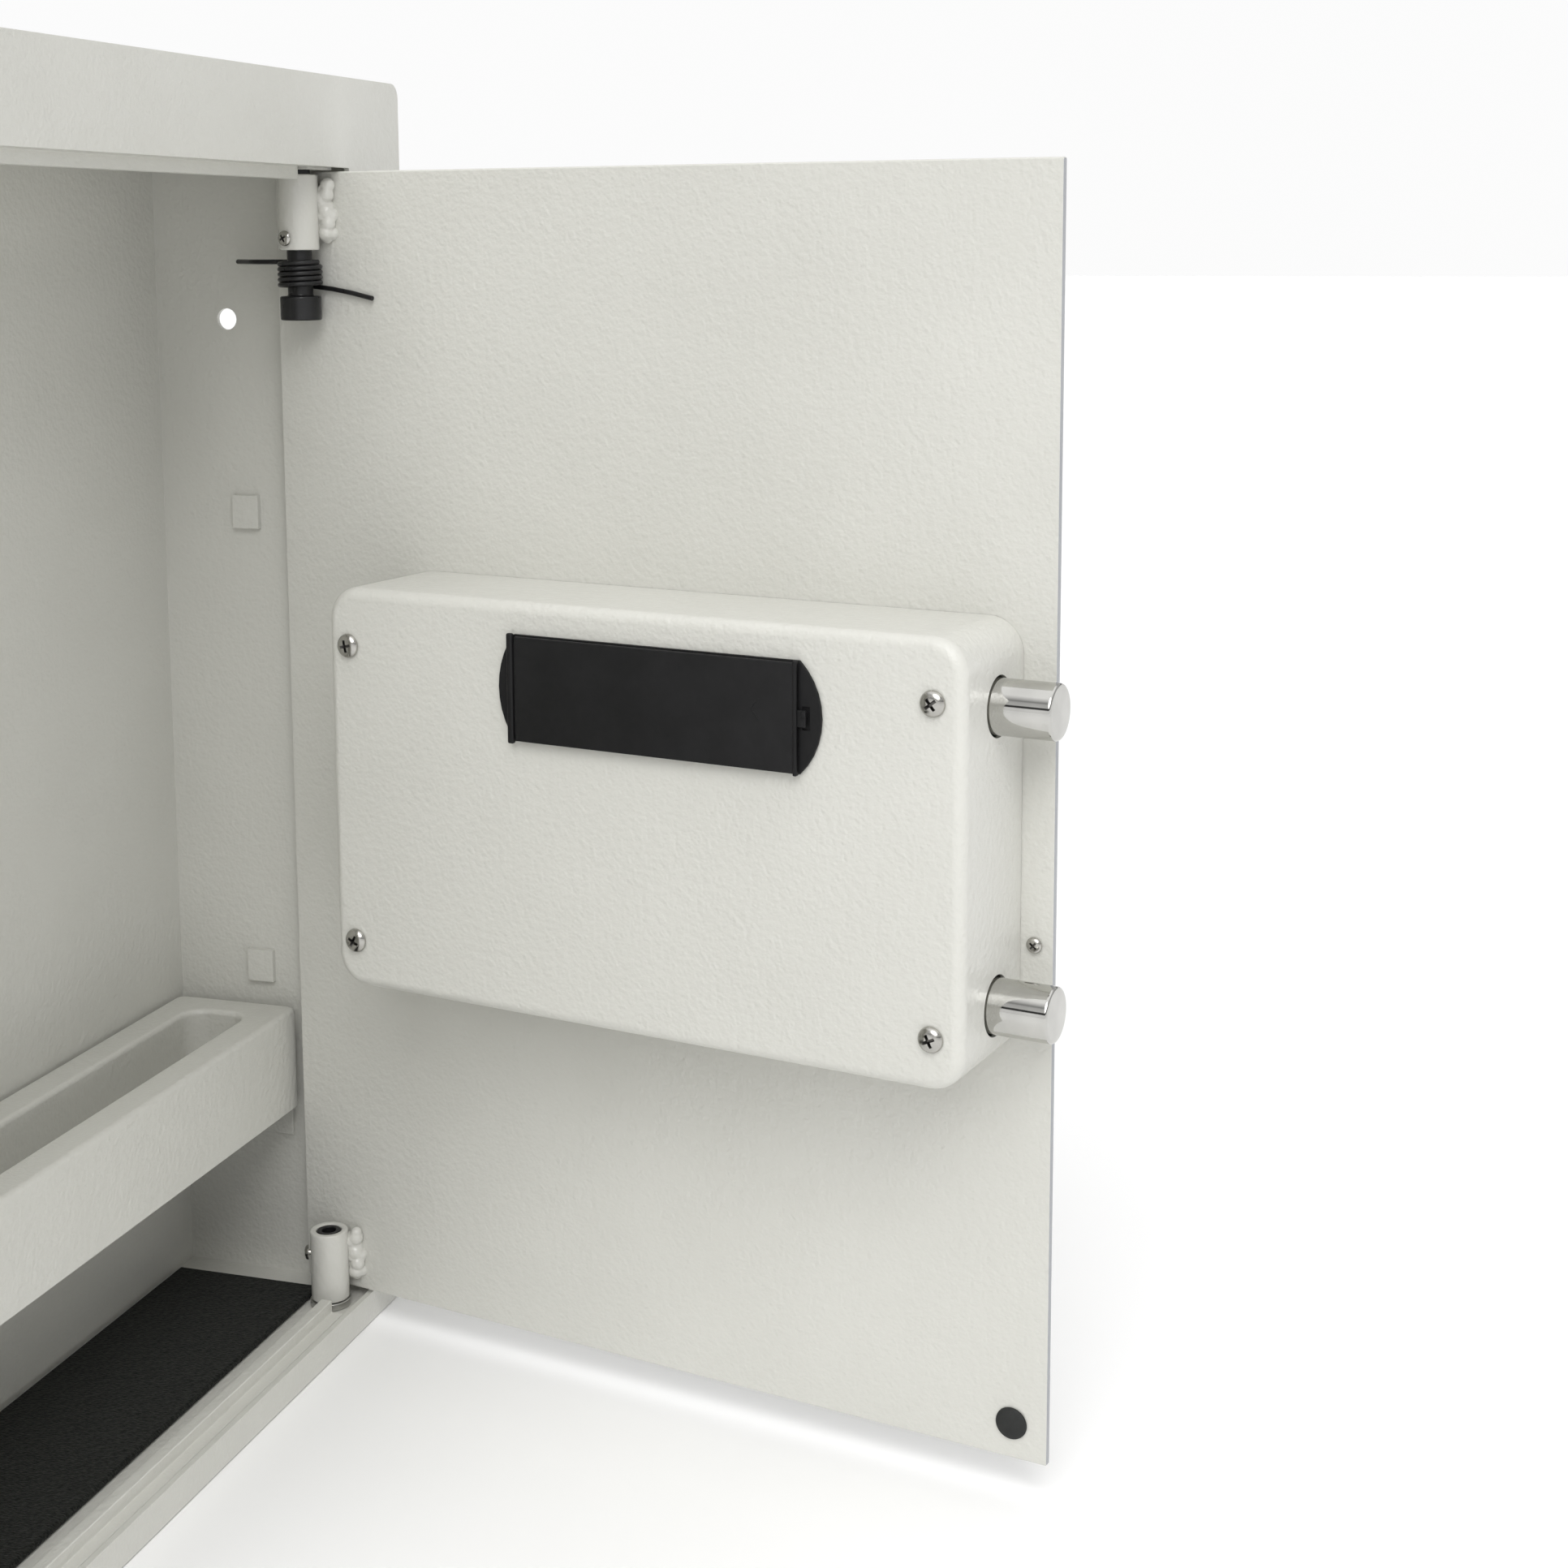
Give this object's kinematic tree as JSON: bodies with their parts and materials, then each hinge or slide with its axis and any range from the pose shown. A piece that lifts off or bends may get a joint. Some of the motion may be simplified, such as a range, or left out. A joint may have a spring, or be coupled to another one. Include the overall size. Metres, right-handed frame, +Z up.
{
  "type": "wall safe",
  "caption": "In-wall safe: flanged steel cabinet with a tray shelf and a hinged door carrying a covered electronic lock, live bolts, keypad and turning knob.",
  "frame": {"origin": "middle of the cabinet's flat outer back face", "axes": "+X to the hinge side, +Y into the wall, +Z up"},
  "size_m": [0.4326, 0.4083, 0.5248],
  "materials": {
    "cream_powder_coat": "satin textured powder coat",
    "chrome": "polished",
    "zinc_steel": "zinc plated",
    "black_oxide": "black oxide",
    "black_plastic": "matt",
    "button_grey": "satin",
    "black_rubber": "matt",
    "grey_felt": "matt felt",
    "indicator_lens": "gloss",
    "circuit_board": "satin",
    "coil_tape": "satin",
    "cell_jacket": "satin"
  },
  "bodies": {
    "cabinet": {"cabinet_shell": "cream_powder_coat", "front_frame": "cream_powder_coat", "stop_bottom": "cream_powder_coat", "stop_top": "cream_powder_coat", "stop_left": "cream_powder_coat", "shelf_rail_right": "cream_powder_coat", "shelf_rail_left": "cream_powder_coat", "floor_mat": "grey_felt", "hinge_washer": "zinc_steel"},
    "shelf": {"shelf": "cream_powder_coat"},
    "door": {"door_plate": "cream_powder_coat", "hinge_barrel_top": "cream_powder_coat", "hinge_barrel_bottom": "cream_powder_coat", "hinge_pin_top": "black_oxide", "hinge_pin_bottom": "black_oxide", "hinge_set_screw_top": "zinc_steel", "hinge_set_screw_bottom": "zinc_steel", "torsion_spring": "black_oxide", "door_screw": "zinc_steel", "door_bumper": "black_rubber", "lock_cover": "cream_powder_coat", "guide_bracket": "zinc_steel", "cover_bracket": "zinc_steel", "cover_screw_1": "zinc_steel", "cover_screw_2": "zinc_steel", "cover_screw_3": "zinc_steel", "cover_screw_4": "zinc_steel", "battery_holder": "black_plastic", "battery_1": "cell_jacket", "battery_2": "cell_jacket", "battery_3": "cell_jacket", "battery_4": "cell_jacket", "solenoid_frame": "zinc_steel", "solenoid_coil": "coil_tape", "key_lock_body": "zinc_steel", "keypad_housing": "black_plastic", "indicator_lens": "indicator_lens", "circuit_board": "circuit_board"},
    "battery_cover": {"battery_cover": "black_plastic"},
    "bolts": {"bolt_lower": "chrome", "bolt_upper": "chrome", "bolt_bar": "zinc_steel"},
    "knob": {"knob": "chrome", "spindle": "zinc_steel", "drive_cam": "zinc_steel"},
    "plunger": {"solenoid_plunger": "zinc_steel"},
    "key": {"key_plug": "chrome"},
    "key_cover": {"key_cover": "button_grey"},
    "button_1": {"button_1": "button_grey"},
    "button_2": {"button_2": "button_grey"},
    "button_3": {"button_3": "button_grey"},
    "button_4": {"button_4": "button_grey"},
    "button_5": {"button_5": "button_grey"},
    "button_6": {"button_6": "button_grey"},
    "button_7": {"button_7": "button_grey"},
    "button_8": {"button_8": "button_grey"},
    "button_9": {"button_9": "button_grey"},
    "button_left": {"button_left": "button_grey"},
    "button_0": {"button_0": "button_grey"},
    "button_right": {"button_right": "button_grey"}
  },
  "joints": [
    {"name": "door_hinge", "type": "hinge", "parent": "cabinet", "child": "door", "pos_m": [0.15525, -0.083, 0], "axis": [0, 0, 1], "range_deg": [-78.6, 16.4], "stiffness_Nm_per_rad": 0.15, "deforming": ["torsion_spring"]},
    {"name": "shelf_lift", "type": "slide", "parent": "cabinet", "child": "shelf", "axis": [0, 0, 1], "range_m": [0, 0.03]},
    {"name": "battery_cover_swing", "type": "hinge", "parent": "door", "child": "battery_cover", "pos_m": [0.08503, -0.20105, 0.0457], "axis": [0, 0, -1], "range_deg": [0, 95]},
    {"name": "bolt_slide", "type": "slide", "parent": "door", "child": "bolts", "axis": [-0.1977, -0.9803, 0], "range_m": [-0.018, 0]},
    {"name": "knob_turn", "type": "hinge", "parent": "door", "child": "knob", "pos_m": [0.11879, -0.31089, -0.0036], "axis": [0.9803, -0.1977, 0], "range_deg": [-90, 0]},
    {"name": "plunger_slide", "type": "slide", "parent": "door", "child": "plunger", "axis": [0, 0, 1], "range_m": [0, 0.005]},
    {"name": "key_turn", "type": "hinge", "parent": "door", "child": "key", "pos_m": [0.12867, -0.26188, -0.0036], "axis": [-0.9803, 0.1977, 0], "range_deg": [0, 90]},
    {"name": "key_cover_swing", "type": "hinge", "parent": "door", "child": "key_cover", "pos_m": [0.14514, -0.2652, 0.0094], "axis": [0.9803, -0.1977, 0], "range_deg": [0, 110]},
    {"name": "button_1_press", "type": "slide", "parent": "door", "child": "button_1", "axis": [-0.9803, 0.1977, 0], "range_m": [0, 0.0015], "stiffness_N_per_m": 300},
    {"name": "button_2_press", "type": "slide", "parent": "door", "child": "button_2", "axis": [-0.9803, 0.1977, 0], "range_m": [0, 0.0015], "stiffness_N_per_m": 300},
    {"name": "button_3_press", "type": "slide", "parent": "door", "child": "button_3", "axis": [-0.9803, 0.1977, 0], "range_m": [0, 0.0015], "stiffness_N_per_m": 300},
    {"name": "button_4_press", "type": "slide", "parent": "door", "child": "button_4", "axis": [-0.9803, 0.1977, 0], "range_m": [0, 0.0015], "stiffness_N_per_m": 300},
    {"name": "button_5_press", "type": "slide", "parent": "door", "child": "button_5", "axis": [-0.9803, 0.1977, 0], "range_m": [0, 0.0015], "stiffness_N_per_m": 300},
    {"name": "button_6_press", "type": "slide", "parent": "door", "child": "button_6", "axis": [-0.9803, 0.1977, 0], "range_m": [0, 0.0015], "stiffness_N_per_m": 300},
    {"name": "button_7_press", "type": "slide", "parent": "door", "child": "button_7", "axis": [-0.9803, 0.1977, 0], "range_m": [0, 0.0015], "stiffness_N_per_m": 300},
    {"name": "button_8_press", "type": "slide", "parent": "door", "child": "button_8", "axis": [-0.9803, 0.1977, 0], "range_m": [0, 0.0015], "stiffness_N_per_m": 300},
    {"name": "button_9_press", "type": "slide", "parent": "door", "child": "button_9", "axis": [-0.9803, 0.1977, 0], "range_m": [0, 0.0015], "stiffness_N_per_m": 300},
    {"name": "button_left_press", "type": "slide", "parent": "door", "child": "button_left", "axis": [-0.9803, 0.1977, 0], "range_m": [0, 0.0015], "stiffness_N_per_m": 300},
    {"name": "button_0_press", "type": "slide", "parent": "door", "child": "button_0", "axis": [-0.9803, 0.1977, 0], "range_m": [0, 0.0015], "stiffness_N_per_m": 300},
    {"name": "button_right_press", "type": "slide", "parent": "door", "child": "button_right", "axis": [-0.9803, 0.1977, 0], "range_m": [0, 0.0015], "stiffness_N_per_m": 300}
  ],
  "couplings": [
    {"joint": "knob_turn", "follows": "bolt_slide", "rad_per_m": 87.266}
  ]
}
